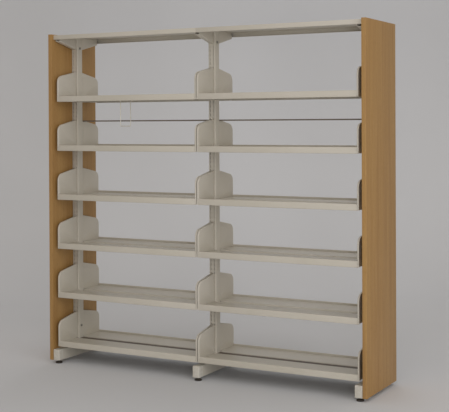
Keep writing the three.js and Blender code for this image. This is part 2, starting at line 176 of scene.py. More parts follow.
class Brush:
    """A material in the making: its patterns, its coats of colour and its shader."""

    def __init__(self, name: str) -> None:
        """Starts an empty node material that reads Object coordinates.

        Args:
            name: the material's name.
        """
        self.material = bpy.data.materials.new(name)
        self.material.use_nodes = True
        self.tree = self.material.node_tree
        self.tree.nodes.clear()
        self.place = add_node(self.tree, "ShaderNodeTexCoord").outputs["Object"]

    def blotches(
        self,
        grain: float | Sequence[float],
        spread: tuple[float, float] = (0.0, 1.0),
        detail: float = 3.0,
    ) -> Node:
        """Noise of a real size, mapped into a range.

        Args:
            grain: the size of a blotch, or its sizes along X, Y and Z, in millimetres.
            spread: the values at the two ends of the noise.
            detail: octaves of finer noise.

        Returns:
            The mapped noise.
        """
        sizes = [grain] * 3 if isinstance(grain, float) else grain
        scale = [1 / (size * MM) for size in sizes]
        vector = add_node(self.tree, "ShaderNodeMapping", {"Vector": self.place, "Scale": scale})
        noise = add_node(self.tree, "ShaderNodeTexNoise", {"Vector": vector, "Scale": 1.0, "Detail": detail})
        limits = zip(("From Min", "From Max", "To Min", "To Max"), (*NOISE_RANGE, *spread))
        return add_node(self.tree, "ShaderNodeMapRange", {"Value": noise, **dict(limits)})

    def layered(self, share: Node, under: str | Socket, over: str) -> Socket:
        """Lays a coat of colour over another one.

        Args:
            share: how much of the coat shows.
            under: what lies below, as a hex colour or a socket.
            over: the coat's hex colour.

        Returns:
            The colour of both.
        """
        below = linear(under) if isinstance(under, str) else under
        coats = {MIX_SHARE: share, MIX_UNDER: below, MIX_OVER: linear(over)}
        return add_node(self.tree, "ShaderNodeMix", coats, data_type="RGBA").outputs[MIX_RESULT]

    def close(
        self,
        colour: Socket,
        roughness: Node,
        relief: Node,
        depth_mm: float,
        **fixed: float,
    ) -> Material:
        """Ends the material in a Principled shader with bump.

        Args:
            colour: the base colour.
            roughness: the roughness.
            relief: the height pattern.
            depth_mm: how deep the relief is, in millimetres.
            **fixed: values for other inputs, by name.

        Returns:
            The material.
        """
        height = {"Height": relief, "Strength": RELIEF_STRENGTH, "Distance": depth_mm * MM}
        normal = add_node(self.tree, "ShaderNodeBump", height)
        inputs = {**fixed, "Base Color": colour, "Roughness": roughness, "Normal": normal}
        shader = add_node(self.tree, "ShaderNodeBsdfPrincipled", inputs)
        add_node(self.tree, "ShaderNodeOutputMaterial", {"Surface": shader})
        return self.material


@dataclass(frozen=True)
class Enamel:
    """Stoved enamel on folded steel: even and satin, with slight orange peel, and dust on what faces up,
    drawn lighter than dust alone as painted light on the tops.
    """

    name: str
    slot: str
    light: str
    shade: str
    # the colour of what faces up: dust, drawn lighter as painted light on the tops
    dust_and_top_light: str
    roughness: tuple[float, float] = (0.37, 0.44)
    ior: float = 1.5
    drift_mm: float = 400.0
    # orange peel is about 1 mm across, drawn coarser so that it shows
    peel_mm: float = 3.0
    peel_depth_mm: float = 0.02
    dust_and_top_light_mm: float = 60.0
    dust_and_top_light_share: tuple[float, float] = (0.5, 0.7)
    # dust and painted top light begin where the normal points up by this much
    dust_and_top_light_from: float = 0.7

    def material(self) -> Material:
        """Builds the enamel's material."""
        brush = Brush(self.name)
        paint = brush.layered(brush.blotches(self.drift_mm), self.light, self.shade)
        normal = add_node(brush.tree, "ShaderNodeNewGeometry").outputs["Normal"]
        upward = add_node(brush.tree, "ShaderNodeSeparateXYZ", {0: normal}).outputs["Z"]
        flat = {"Value": upward, "From Min": self.dust_and_top_light_from, "From Max": 1.0}
        facing = add_node(brush.tree, "ShaderNodeMapRange", flat)
        # what faces up is drawn lighter: partly dust, partly painted light that makes up for the shade on
        # the tray tops
        dust_and_top_light_specks = brush.blotches(self.dust_and_top_light_mm, self.dust_and_top_light_share)
        dust_and_top_light_mask = add_node(brush.tree, "ShaderNodeMath", {0: facing, 1: dust_and_top_light_specks}, operation="MULTIPLY")
        colour = brush.layered(dust_and_top_light_mask, paint, self.dust_and_top_light)
        roughness = brush.blotches(self.dust_and_top_light_mm, self.roughness)
        relief = brush.blotches(self.peel_mm, detail=1.0)
        return brush.close(colour, roughness, relief, self.peel_depth_mm, IOR=self.ior)


@dataclass(frozen=True)
class Veneer:
    """Straight grained oak veneer under satin lacquer: broad bands, fine fibres and short dark pores."""

    name: str
    slot: str
    light: str
    dark: str
    pore: str
    roughness: tuple[float, float] = (0.44, 0.6)
    ior: float = 1.5
    band_mm: tuple[float, float, float] = (38.0, 38.0, 1100.0)
    band_share: tuple[float, float] = (0.0, 0.75)
    fibre_mm: tuple[float, float, float] = (4.0, 4.0, 260.0)
    fibre_share: tuple[float, float] = (-0.25, 0.35)
    fibre_depth_mm: float = 0.05
    # pores are about 0.3 mm wide, drawn coarser so that they show
    pore_mm: tuple[float, float, float] = (1.8, 1.8, 28.0)
    pore_share: tuple[float, float] = (-1.6, 0.9)
    pore_strength: float = 0.6

    def material(self) -> Material:
        """Builds the veneer's material."""
        brush = Brush(self.name)
        band = brush.blotches(self.band_mm, self.band_share, detail=2.0)
        fibre = brush.blotches(self.fibre_mm, self.fibre_share, detail=4.0)
        grain = add_node(brush.tree, "ShaderNodeMath", {0: band, 1: fibre}, operation="ADD", use_clamp=True)
        wood = brush.layered(grain, self.light, self.dark)
        pores = {0: brush.blotches(self.pore_mm, self.pore_share, detail=2.0), 1: self.pore_strength}
        shown = add_node(brush.tree, "ShaderNodeMath", pores, operation="MULTIPLY", use_clamp=True)
        colour = brush.layered(shown, wood, self.pore)
        roughness = brush.blotches(self.fibre_mm, self.roughness)
        return brush.close(colour, roughness, fibre, self.fibre_depth_mm, IOR=self.ior)


@dataclass(frozen=True)
class Moulding:
    """Injection moulded plastic: matt, with a fine spark-eroded texture and scuffs."""

    name: str
    slot: str
    light: str
    scuffed: str
    roughness: tuple[float, float] = (0.52, 0.72)
    ior: float = 1.46
    scuff_mm: float = 18.0
    scuff_share: tuple[float, float] = (0.0, 0.7)
    # the texture is about 0.5 mm, drawn coarser so that it shows
    texture_mm: float = 1.6
    texture_depth_mm: float = 0.06

    def material(self) -> Material:
        """Builds the plastic's material."""
        brush = Brush(self.name)
        scuffs = brush.blotches(self.scuff_mm, self.scuff_share, detail=4.0)
        colour = brush.layered(scuffs, self.light, self.scuffed)
        roughness = brush.blotches(self.scuff_mm, self.roughness)
        relief = brush.blotches(self.texture_mm, detail=1.0)
        return brush.close(colour, roughness, relief, self.texture_depth_mm, IOR=self.ior)


@dataclass(frozen=True)
class ZincPlate:
    """Bright zinc on turned steel: metallic, with the faint clouds of its passivation."""

    name: str
    slot: str
    light: str
    cloud: str
    roughness: tuple[float, float] = (0.28, 0.48)
    cloud_mm: float = 6.0
    cloud_depth_mm: float = 0.01

    def material(self) -> Material:
        """Builds the plating's material."""
        brush = Brush(self.name)
        clouds = brush.blotches(self.cloud_mm)
        colour = brush.layered(clouds, self.light, self.cloud)
        roughness = brush.blotches(self.cloud_mm, self.roughness)
        return brush.close(colour, roughness, clouds, self.cloud_depth_mm, Metallic=1.0)


class Finish(Enum):
    """The finishes of the shelving, each with the record's slot that it belongs to."""

    CREAM = Enamel("cream_stoved_enamel", "cream_steel", "#d0cabe", "#c8c2b4", "#e2ddd2")
    OAK = Veneer("oak_veneer_satin", "oak_laminate", "#b48d54", "#a67d48", "#8c683a")
    PALE = Moulding("pale_moulded_nylon", "pale_plastic", "#d6d2c8", "#bfb9ab")
    BLACK = Moulding("black_moulded_nylon", "black_plastic", "#362f2a", "#4a4139")
    # the base spreaders' dark colour is partly painted shade: it fills the shadowed gap between the front
    # and rear base trays
    DARK = Enamel("dark_enamel_and_gap_shade", "dark_steel", "#5c4b3a", "#4d3f31", "#6b5b49", (0.52, 0.59))
    ROD = Enamel("grey_lacquered_rod", "dark_steel", "#857b70", "#796f65", "#8d8479", (0.47, 0.54))
    ZINC = ZincPlate("bright_zinc_plate", "zinc_steel", "#a9a7a2", "#8d8a80")
    WIRE = Moulding("white_dipped_wire", "white_wire", "#e4e1d8", "#cfc9b9", (0.34, 0.54))


def add_object(name: str, data: bpy.types.ID) -> bpy.types.Object:
    """Puts a new object into the scene.

    Args:
        name: the object's name.
        data: its mesh, lamp or camera.

    Returns:
        The object.
    """
    item = bpy.data.objects.new(name, data)
    bpy.context.scene.collection.objects.link(item)
    return item


class Dresser:
    """Keeps one material for each finish and settles finished meshes on their bodies."""

    def __init__(self) -> None:
        """Builds every material once."""
        self.materials = {finish: finish.value.material() for finish in Finish}

    def settle(self, node: str, kind: str, mesh: Mesh, finish: Finish, body: str = "frame") -> None:
        """Makes a mesh the piece that stands for a node of the frame.

        Args:
            node: the node.
            kind: what the piece is, for its name.
            mesh: its finished mesh, in place.
            finish: its finish.
            body: the body it rides on.
        """
        name = f"{node}_{kind}"
        mesh.name = name
        mesh.materials.clear()
        mesh.materials.append(self.materials[finish])
        piece = add_object(name, mesh)
        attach(piece, body)
        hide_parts(node)
        LOG.info("%s: %d faces on %s", piece.name, len(mesh.polygons), body)

    def paint(self, node: bpy.types.Object, finish: Finish) -> None:
        """Gives a node of the frame a finish and keeps its shape.

        Args:
            node: the node's object.
            finish: its new finish.
        """
        node.data.materials.clear()
        node.data.materials.append(self.materials[finish])
        LOG.info("%s: frame node in %s", node.name, finish.value.name)


def filleted(line: Sequence[Vector], radius: float, steps: int = FOLD_STEPS) -> list[Vector]:
    """Rounds the inner corners of a line.

    Args:
        line: the corners, flat.
        radius: the radius at each inner corner.
        steps: segments in each round.

    Returns:
        The rounded line.
    """
    rounded = [line[0]]
    for before, corner, after in zip(line, line[1:], line[2:]):
        back = (before - corner).normalized()
        ahead = (after - corner).normalized()
        half = back.angle(ahead) / 2
        middle = corner + (back + ahead).normalized() * (radius / math.sin(half))
        start = corner + back * (radius / math.tan(half)) - middle
        end = corner + ahead * (radius / math.tan(half)) - middle
        for step in range(steps + 1):
            rounded.append(middle + start.lerp(end, step / steps).normalized() * radius)
    return [*rounded, line[-1]]


def strip(form: bmesh.types.BMesh, rows: Sequence[Sequence[Vector]], closed: bool = False) -> list[list]:
    """Skins rows of points with quads.

    Args:
        form: the mesh that takes the skin.
        rows: rows of equal length.
        closed: whether each row joins its own ends.

    Returns:
        The vertices of each row.
    """
    made = [[form.verts.new(point) for point in row] for row in rows]
    for low, high in zip(made, made[1:]):
        count = len(low)
        for i in range(count if closed else count - 1):
            j = (i + 1) % count
            form.faces.new((low[i], low[j], high[j], high[i]))
    return made


def mesh_of(form: bmesh.types.BMesh) -> Mesh:
    """Ends a bmesh with merged points and outward faces.

    Args:
        form: the bmesh, which is freed.

    Returns:
        The mesh.
    """
    bmesh.ops.remove_doubles(form, verts=form.verts, dist=MERGE)
    bmesh.ops.recalc_face_normals(form, faces=form.faces)
    mesh = bpy.data.meshes.new("drawn")
    form.to_mesh(mesh)
    form.free()
    return mesh


def drawn(line: Sequence[Vector], ends: Sequence[float]) -> Mesh:
    """Draws a line out along X.

    Args:
        line: the points, in Y and Z.
        ends: where it starts and stops.

    Returns:
        The open mesh.
    """
    form = bmesh.new()
    strip(form, [[Vector((x, p.x, p.y)) for p in line] for x in ends])
    return mesh_of(form)


def taken_off(bench: bpy.types.Object) -> Mesh:
    """Keeps what an object's modifiers make of its mesh, and removes the object.

    Args:
        bench: the object.

    Returns:
        A new plain mesh.
    """
    result = bpy.data.meshes.new_from_object(bench.evaluated_get(bpy.context.evaluated_depsgraph_get()))
    bench.modifiers.clear()
    bpy.data.objects.remove(bench)
    return result


def modified(mesh: Mesh, *steps: tuple[str, dict]) -> Mesh:
    """Runs modifiers over a mesh and keeps the result.

    Args:
        mesh: the starting mesh.
        *steps: each modifier's type and its properties.

    Returns:
        A new plain mesh.
    """
    bench = add_object("bench", mesh)
    for kind, properties in steps:
        modifier = bench.modifiers.new(kind.lower(), kind)
        for name, value in properties.items():
            setattr(modifier, name, value)
    return taken_off(bench)


def walled(thickness: float) -> tuple[str, dict]:
    """The step that gives a middle surface its wall."""
    return "SOLIDIFY", {"thickness": thickness, "offset": 0.0, "use_even_offset": True}


def smoothed(mesh: Mesh, angle: float = SHEET_ANGLE) -> Mesh:
    """Shades a mesh smooth up to an angle.

    Args:
        mesh: the mesh.
        angle: sharper edges than this stay sharp, in degrees.

    Returns:
        The same mesh.
    """
    mesh.polygons.foreach_set("use_smooth", [True] * len(mesh.polygons))
    mesh.set_sharp_from_angle(angle=math.radians(angle))
    return mesh


def sheeted(mesh: Mesh, thickness: float, edge: float) -> Mesh:
    """Gives a middle surface its sheet thickness and eased edges.

    Args:
        mesh: the open middle surface.
        thickness: the sheet.
        edge: the width of the eased edges.

    Returns:
        The closed sheet.
    """
    eased = {"width": edge, "segments": CUT_STEPS, "limit_method": "ANGLE"}
    eased["angle_limit"] = math.radians(CUT_ANGLE)
    return smoothed(modified(mesh, walled(thickness), ("BEVEL", eased)))


def placed(mesh: Mesh, matrix: Matrix) -> Mesh:
    """Copies a mesh into its place.

    Args:
        mesh: the mesh.
        matrix: its place.

    Returns:
        The placed copy.
    """
    copy = mesh.copy()
    copy.transform(matrix)
    return copy


def moved(x: float = 0.0, y: float = 0.0, z: float = 0.0) -> Matrix:
    """The matrix of a plain move."""
    return Matrix.Translation((x, y, z))


def joined(meshes: Iterable[Mesh]) -> Mesh:
    """Puts several meshes into one.

    Args:
        meshes: the meshes, in place.

    Returns:
        The joined mesh.
    """
    form = bmesh.new()
    for mesh in meshes:
        form.from_mesh(mesh)
    whole = bpy.data.meshes.new("joined")
    form.to_mesh(whole)
    form.free()
    return whole


class Grower:
    """A Geometry Nodes tree with named inputs, which ends in plain geometry with its material."""

    def __init__(self, name: str, **sizes: str) -> None:
        """Starts the tree.

        Args:
            name: the tree's name.
            **sizes: the kind of each input, by the input's name.
        """
        self.tree = bpy.data.node_groups.new(name, "GeometryNodeTree")
        for label, kind in {"Geometry": "Geometry", **sizes, "Material": "Material"}.items():
            self.tree.interface.new_socket(label, in_out="INPUT", socket_type=f"NodeSocket{kind}")
        self.tree.interface.new_socket("Geometry", in_out="OUTPUT", socket_type="NodeSocketGeometry")
        self.given = add_node(self.tree, "NodeGroupInput").outputs

    def end(self, shape: Node) -> Grower:
        """Ends the tree in realised geometry.

        Args:
            shape: the node to end on.

        Returns:
            The finished tree's holder.
        """
        plain = add_node(self.tree, "GeometryNodeRealizeInstances", {"Geometry": shape})
        welded = add_node(self.tree, "GeometryNodeMergeByDistance", {"Geometry": plain, "Distance": WELD})
        finish = {"Geometry": welded, "Material": self.given["Material"]}
        painted = add_node(self.tree, "GeometryNodeSetMaterial", finish)
        add_node(self.tree, "NodeGroupOutput", {"Geometry": painted})
        return self

    def grow(self, mesh: Mesh, **values: object) -> Mesh:
        """Runs the tree over a mesh and keeps the plain result.

        Args:
            mesh: the starting mesh.
            **values: the value of each input, by name.

        Returns:
            A new mesh with no instances or modifiers.
        """
        bench = add_object("bench", mesh)
        modifier = bench.modifiers.new("grow", "NODES")
        modifier.node_group = self.tree
        for item in self.tree.interface.items_tree:
            if item.in_out == "INPUT" and item.name in values:
                modifier[item.identifier] = values[item.name]
        return taken_off(bench)


def stacker() -> Grower:
    """Makes the tree that stacks copies of its mesh up along Z."""
    grower = Grower("stacked_cells", Count="Int", Pitch="Float")
    tree, given = grower.tree, grower.given
    step = add_node(tree, "ShaderNodeCombineXYZ", {"Z": given["Pitch"]})
    line = add_node(tree, "GeometryNodeMeshLine", {"Count": given["Count"], "Offset": step})
    copies = {"Points": line, "Instance": given["Geometry"]}
    return grower.end(add_node(tree, "GeometryNodeInstanceOnPoints", copies))


def ribber() -> Grower:
    """Makes the tree that adds a ring of grip ribs round its mesh."""
    grower = Grower("ring_of_ribs", Count="Int", Radius="Float", Rib="Vector", Height="Float")
    tree, given = grower.tree, grower.given
    circle = {"Vertices": given["Count"], "Radius": given["Radius"]}
    ring = add_node(tree, "GeometryNodeMeshCircle", circle)
    rib = add_node(tree, "GeometryNodeMeshCube", {"Size": given["Rib"]})
    outward = add_node(tree, "GeometryNodeInputPosition")
    turn = add_node(tree, "FunctionNodeAlignRotationToVector", {"Vector": outward}, axis="X")
    copies = {"Points": ring, "Instance": rib, "Rotation": turn}
    ribs = add_node(tree, "GeometryNodeInstanceOnPoints", copies)
    lift = add_node(tree, "ShaderNodeCombineXYZ", {"Z": given["Height"]})
    raised = add_node(tree, "GeometryNodeTransform", {"Geometry": ribs, "Translation": lift})
    whole = add_node(tree, "GeometryNodeJoinGeometry", {"Geometry": raised})
    tree.links.new(given["Geometry"], whole.inputs["Geometry"])
    return grower.end(whole)


def bender() -> Grower:
    """Makes the tree that turns a line of edges into a round wire with bends."""
    grower = Grower("bent_wire", Radius="Float", Bend="Float")
    tree, given = grower.tree, grower.given
    path = add_node(tree, "GeometryNodeMeshToCurve", {"Mesh": given["Geometry"]})
    bends = {"Curve": path, "Radius": given["Bend"], "Count": WIRE_BEND_STEPS}
    bent = add_node(tree, "GeometryNodeFilletCurve", bends, mode="POLY")
    circle = {"Resolution": WIRE_SIDES, "Radius": given["Radius"]}
    section = add_node(tree, "GeometryNodeCurvePrimitiveCircle", circle)
    swept = {"Curve": bent, "Profile Curve": section, "Fill Caps": True}
    return grower.end(add_node(tree, "GeometryNodeCurveToMesh", swept))


def line_mesh(points: Sequence[Vector]) -> Mesh:
    """Draws a line of edges.

    Args:
        points: where the line runs, in order.

    Returns:
        A mesh with no faces.
    """
    mesh = bpy.data.meshes.new("line")
    mesh.from_pydata([tuple(p) for p in points], [(i, i + 1) for i in range(len(points) - 1)], [])
    return mesh


def turns_of(sides: int) -> list[float]:
    """The angles of the points of a ring."""
    return [2 * math.pi * i / sides for i in range(sides)]


def arc_steps(sweep: float, steps: int) -> list[float]:
    """The angles along an arc that starts at zero, both ends included."""
    return [sweep * step / steps for step in range(steps + 1)]


def lathe(profile: Sequence[tuple[float, float]], sides: int) -> Mesh:
    """Turns a profile about Z.

    Args:
        profile: radius and height of each ring, from bottom to top, ending on the axis at both ends.
        sides: points in each ring.

    Returns:
        The closed mesh.
    """
    form = bmesh.new()
    turns = turns_of(sides)
    rows = [[Vector((r * math.cos(a), r * math.sin(a), z)) for a in turns] for r, z in profile]
    strip(form, rows, closed=True)
    return mesh_of(form)


@dataclass
class ShelfUnit:
    """A folded tray between two flanged brackets with hooks, in metres.

    It is drawn for the front side, about the middle of its bay, with the tray's underside at zero.
    """

    half_bay: float
    upright_half: float
    reach: float
    back: float
    height: float
    rod_place: float
    rod_radius: float
    sheet: float = 1.2 * MM
    lip: float = 35 * MM
    lip_raise: float = 12 * MM
    ledge: float = 9 * MM
    turn_in: float = 14 * MM
    fold: float = 1.8 * MM
    column: float = 11.5 * MM
    plate: float = 2.2 * MM
    front_height: float = 154 * MM
    corner: float = 45 * MM
    corner_steps: int = 14
    flange: float = 9.6 * MM
    flange_bend: float = 2.4 * MM
    hook_low: float = 30 * MM
    hook_high: float = 155 * MM
    hook_neck: float = 8 * MM
    hook_drop: float = 7 * MM
    hook_inner: float = 22.7 * MM
    hook_tip: float = 18.7 * MM
    edge: float = 0.3 * MM

    @property
    def slope(self) -> float:
        """The angle of the bracket's top edge."""
        return math.atan2(self.height - self.front_height, self.reach - self.upright_half)

    def top_at(self, place: float) -> float:
        """The height of the bracket's top edge at a distance from the centre plane."""
        return self.height - math.tan(self.slope) * (place - self.upright_half)

    def tray(self) -> Mesh:
        """Builds the folded tray."""
        half = self.sheet / 2
        surface = self.lip - self.lip_raise - half
        front = half - self.reach
        lip_back = self.ledge - self.reach - half
        rear = -self.back - half
        line = [
            Vector((self.turn_in - self.reach, half)),
            Vector((front, half)),
            Vector((front, self.lip - half)),
            Vector((lip_back, self.lip - half)),
            Vector((lip_back, surface)),
            Vector((rear, surface)),
            Vector((rear, half)),
            Vector((-self.back - self.turn_in, half)),
        ]
        end = self.half_bay - self.column
        return sheeted(drawn(filleted(line, self.fold), (-end, end)), self.sheet, self.edge)

    def rim(self, inset: float, back: float) -> list[Vector]:
        """The bracket's front and top edge, from the bottom up.

        Args:
            inset: how far inside the outline it runs.
            back: where it ends, as a distance from the centre plane.

        Returns:
            The points, in Y and Z.
        """
        middle = self.corner - self.reach
        rise = self.top_at(-middle) - self.corner / math.cos(self.slope)
        radius = self.corner - inset
        points = [Vector((inset - self.reach, self.sheet))]
        for turn in arc_steps(math.pi / 2 - self.slope, self.corner_steps):
            angle = math.pi - turn
            points.append(Vector((middle + radius * math.cos(angle), rise + radius * math.sin(angle))))
        points.append(Vector((-back, self.top_at(back) - inset / math.cos(self.slope))))
        return points

    def hook(self, neck: float) -> list[Vector]:
        """The outline of a hook, from its top down.

        Args:
            neck: the underside of the hook's neck.

        Returns:
            The points, in Y and Z.
        """
        root = -self.upright_half
        top = neck + self.hook_neck
        low = neck - self.hook_drop
        return [
            Vector((root, top)),
            Vector((-self.hook_tip, top)),
            Vector((-self.hook_tip, low)),
            Vector((-self.hook_inner, low)),
            Vector((-self.hook_inner, neck)),
            Vector((root, neck)),
        ]

    def bracket(self) -> Mesh:
        """Builds the right hand bracket, with its flange turned towards the upright's middle."""
        half = self.plate / 2
        bend = self.flange_bend
        x = self.half_bay - self.column
        turns = arc_steps(math.pi / 2, FOLD_STEPS)
        stages = [(half + bend * (1 - math.sin(a)), x + bend * (1 - math.cos(a))) for a in turns]
        stages.append((half, x + self.flange))
        end = self.upright_half + self.plate
        form = bmesh.new()
        rows = [[Vector((out, p.x, p.y)) for p in self.rim(inset, end)] for inset, out in stages]
        made = strip(form, rows)
        root = self.top_at(self.upright_half) - (half + bend) / math.cos(self.slope)
        back = [Vector((-self.upright_half, root)), *self.hook(self.hook_high), *self.hook(self.hook_low)]
        back.append(Vector((-self.upright_half, self.sheet)))
        inner = [form.verts.new((x, p.x, p.y)) for p in back]
        form.faces.new([*made[0], *inner])
        return sheeted(mesh_of(form), self.plate, self.edge)

    def mesh(self) -> Mesh:
        """Builds the whole unit."""
        right = self.bracket()
        left = placed(right, Matrix.Scale(-1, 4, Vector((1, 0, 0))))
        left.flip_normals()
        return smoothed(joined([self.tray(), right, left]))

    def notched(self, mesh: Mesh) -> Mesh:
        """Cuts the notches that hold a rod into a unit's brackets.

        Args:
            mesh: the plain unit.

        Returns:
            The notched unit.
        """
        width = 2 * (self.rod_radius + 2 * GAP)
        bottom = self.top_at(self.rod_place) - 2 * self.rod_radius - GAP
        size = Matrix.Diagonal((2 * self.column, width, self.corner, 1))
        form = bmesh.new()
        for end in (-1, 1):
            place = moved(end * (self.half_bay - self.column / 2), -self.rod_place, bottom + self.corner / 2)
            bmesh.ops.create_cube(form, size=1, matrix=place @ size)
        cutter = add_object("notch_cutter", mesh_of(form))
        cut = ("BOOLEAN", {"operation": "DIFFERENCE", "solver": "EXACT", "object": cutter})
        result = smoothed(modified(mesh, cut))
        bpy.data.objects.remove(cutter)
        return result


@dataclass
class SlottedUpright:
    """A square tube with columns of hook slots up its front and rear faces, in metres."""

    width: float
    depth: float
    bottom: float
    top: float
    slot_bottom: float
    wall: float = 2 * MM
    corner: float = 3.5 * MM
    corner_steps: int = 4
    pitch: float = 25 * MM
    slot_height: float = 16.9 * MM
    slot_half: float = 1.85 * MM
    column: float = 11.5 * MM
    plain_foot: float = 12 * MM
    plain_head: float = 78 * MM

    def section(self) -> tuple[list[Vector], list[int]]:
        """Draws the middle line of the tube's wall.

        Returns:
            The points, anticlockwise, and the indices of the stretches that slots open.
        """
        x = (self.width - self.wall) / 2
        y = (self.depth - self.wall) / 2
        r = self.corner - self.wall / 2
        rounds = [(x - r, r - y, -90), (x - r, y - r, 0), (r - x, y - r, 90), (r - x, r - y, 180)]
        outer = self.column + self.slot_half
        inner = self.column - self.slot_half
        points: list[Vector] = []
        slots: list[int] = []
        for index, (cx, cy, start) in enumerate(rounds):
            if index % 2 == 0:
                face = index - 1
                slots += [len(points), len(points) + 2]
                points += [Vector((-face * along, face * y)) for along in (-outer, -inner, inner, outer)]
            for turn in arc_steps(math.pi / 2, self.corner_steps):
                angle = math.radians(start) + turn
                points.append(Vector((cx + r * math.cos(angle), cy + r * math.sin(angle))))
        return points, slots

    def mesh(self, tree: Grower, material: Material) -> Mesh:
        """Builds the tube about the Z axis.

        Args:
            tree: the tree that stacks one cell of slots.
            material: the tube's material.

        Returns:
            The closed mesh.
        """
        points, slots = self.section()
        gap = (self.pitch - self.slot_height) / 2
        start = self.slot_bottom - gap
        start -= self.pitch * math.floor((start - self.bottom - self.plain_foot) / self.pitch)
        count = math.floor((self.top - self.plain_head - start) / self.pitch)
        stop = start + count * self.pitch
        cell = bmesh.new()
        heights = (0, gap, self.pitch - gap, self.pitch)
        strip(cell, [[Vector((p.x, p.y, z)) for p in points] for z in heights], closed=True)
        cell.faces.ensure_lookup_table()
        open_faces = [cell.faces[len(points) + i] for i in slots]
        bmesh.ops.delete(cell, geom=open_faces, context="FACES")
        stack = tree.grow(mesh_of(cell), Count=count, Pitch=self.pitch, Material=material)
        form = bmesh.new()
        form.from_mesh(placed(stack, moved(z=start)))
        for low, high in ((self.bottom, start), (stop, self.top)):
            strip(form, [[Vector((p.x, p.y, z)) for p in points] for z in (low, high)], closed=True)
        return smoothed(modified(mesh_of(form), walled(self.wall)))


@dataclass
class CanopyTop:
    """A folded canopy over one bay with lips turned down and in, in metres."""

    start: float
    end: float
    top: float
    reach: float
    lip: float
    sheet: float = 1.5 * MM
    turn_in: float = 12 * MM
    fold: float = 2.4 * MM
    edge: float = 0.35 * MM

    def mesh(self) -> Mesh:
        """Builds the canopy."""
        half = self.sheet / 2
        low = self.top - self.lip + half
        high = self.top - half
        out = self.reach - half
        turned = self.reach - self.turn_in
        corners = ((turned, low), (out, low), (out, high), (-out, high), (-out, low), (-turned, low))
        line = filleted([Vector(p) for p in corners], self.fold)
        return sheeted(drawn(line, (self.start, self.end)), self.sheet, self.edge)


@dataclass
class EasedBlock:
    """A block with eased edges that fills a box of the frame, in metres."""

    low: Vector
    high: Vector
    edge: float
    steps: int = 4

    def mesh(self) -> Mesh:
        """Builds the block."""
        size = self.high - self.low
        form = bmesh.new()
        place = moved(*(self.low + self.high) / 2) @ Matrix.Diagonal((*size, 1))
        bmesh.ops.create_cube(form, size=1, matrix=place)
        eased = {"width": self.edge, "segments": self.steps, "limit_method": "NONE"}
        return smoothed(modified(mesh_of(form), ("BEVEL", eased)), BLOCK_ANGLE)


@dataclass
class CanopyArms:
    """Two tapered box arms, front and rear, under a strap on top of an upright, in metres."""

    top: float
    reach: float
    root: float
    plug: Vector
    plug_low: float
    width: float = 30 * MM
    root_height: float = 78 * MM
    tip_height: float = 36 * MM
    sheet: float = 2 * MM
    fold: float = 3 * MM
    arm_edge: float = MM / 3
    strap_edge: float = MM / 2

    def section(self, height: float) -> list[Vector]:
        """The middle line of an arm's folded wall.

        Args:
            height: how far down the arm reaches there.

        Returns:
            The points in X and Z, from one top corner down, across and up to the other.
        """
        x = (self.width - self.sheet) / 2
        high = self.top - self.sheet
        low = self.top - height + self.sheet / 2
        return filleted([Vector(p) for p in ((-x, high), (-x, low), (x, low), (x, high))], self.fold)

    def mesh(self) -> Mesh:
        """Builds the arms, their strap and the plug that sits in the upright."""
        form = bmesh.new()
        for side in (-1, 1):
            rows = []
            for place, height in ((self.root, self.root_height), (self.reach, self.tip_height)):
                rows.append([Vector((p.x, side * place, p.y)) for p in self.section(height)])
            strip(form, rows)
        arms = sheeted(mesh_of(form), self.sheet, self.arm_edge)
        half = Vector((self.width / 2, self.reach, 0))
        high = Vector((0, 0, self.top))
        under = high - Vector((0, 0, self.sheet))
        low = Vector((0, 0, self.plug_low))
        strap = EasedBlock(under - half, high + half, self.strap_edge).mesh()
        plug = EasedBlock(low - self.plug, under + self.plug, self.strap_edge).mesh()
        return joined([arms, strap, plug])


@dataclass
class FootCap:
    """A moulded cap with rounded front corners and edges, from zero to its front at -Y, in metres."""

    width: float
    length: float
    height: float
    corner: float = 6 * MM
    edge: float = 3.5 * MM
    steps: int = 5

    def plan(self, inset: float) -> list[tuple[float, float]]:
        """The cap's outline from above.

        Args:
            inset: how far inside the widest outline it runs.

        Returns:
            The points, anticlockwise, with a straight back.
        """
        half = self.width / 2 - inset
        radius = self.corner - inset
        points = [(half, 0.0), (-half, 0.0)]
        for side, start in ((-1, 180), (1, 270)):
            middle = side * (half - radius)
            for turn in arc_steps(math.pi / 2, self.steps):
                angle = math.radians(start) + turn
                x = middle + radius * math.cos(angle)
                points.append((x, inset - self.length + radius * (1 + math.sin(angle))))
        return points

    def mesh(self) -> Mesh:
        """Builds the cap."""
        arc = arc_steps(math.pi / 2, self.steps)
        lower = [(self.edge * (1 - math.sin(a)), self.edge * (1 - math.cos(a))) for a in arc]
        stages = [*lower, *((inset, self.height - rise) for inset, rise in reversed(lower))]
        form = bmesh.new()
        rows = [[Vector((x, y, z)) for x, y in self.plan(inset)] for inset, z in stages]
        made = strip(form, rows, closed=True)
        form.faces.new(made[0])
        form.faces.new(made[-1])
        return smoothed(mesh_of(form), BLOCK_ANGLE)


@dataclass
class BoxLeg:
    """A rounded box tube that lies across the row, in metres."""

    low: Vector
    high: Vector
    wall: float = 2.5 * MM
    corner: float = 5 * MM
    edge: float = 0.3 * MM

    def mesh(self) -> Mesh:
        """Builds the tube."""
        half = self.wall / 2
        x0, x1 = self.low.x + half, self.high.x - half
        z0, z1 = self.low.z + half, self.high.z - half
        middle = (x0 + x1) / 2
        loop = [(middle, z0), (x1, z0), (x1, z1), (x0, z1), (x0, z0), (middle, z0)]
        rounded = filleted([Vector(p) for p in loop], self.corner - half)[:-1]
        form = bmesh.new()
        rows = [[Vector((p.x, y, p.y)) for p in rounded] for y in (self.low.y, self.high.y)]
        strip(form, rows, closed=True)
        return sheeted(mesh_of(form), self.wall, self.edge)


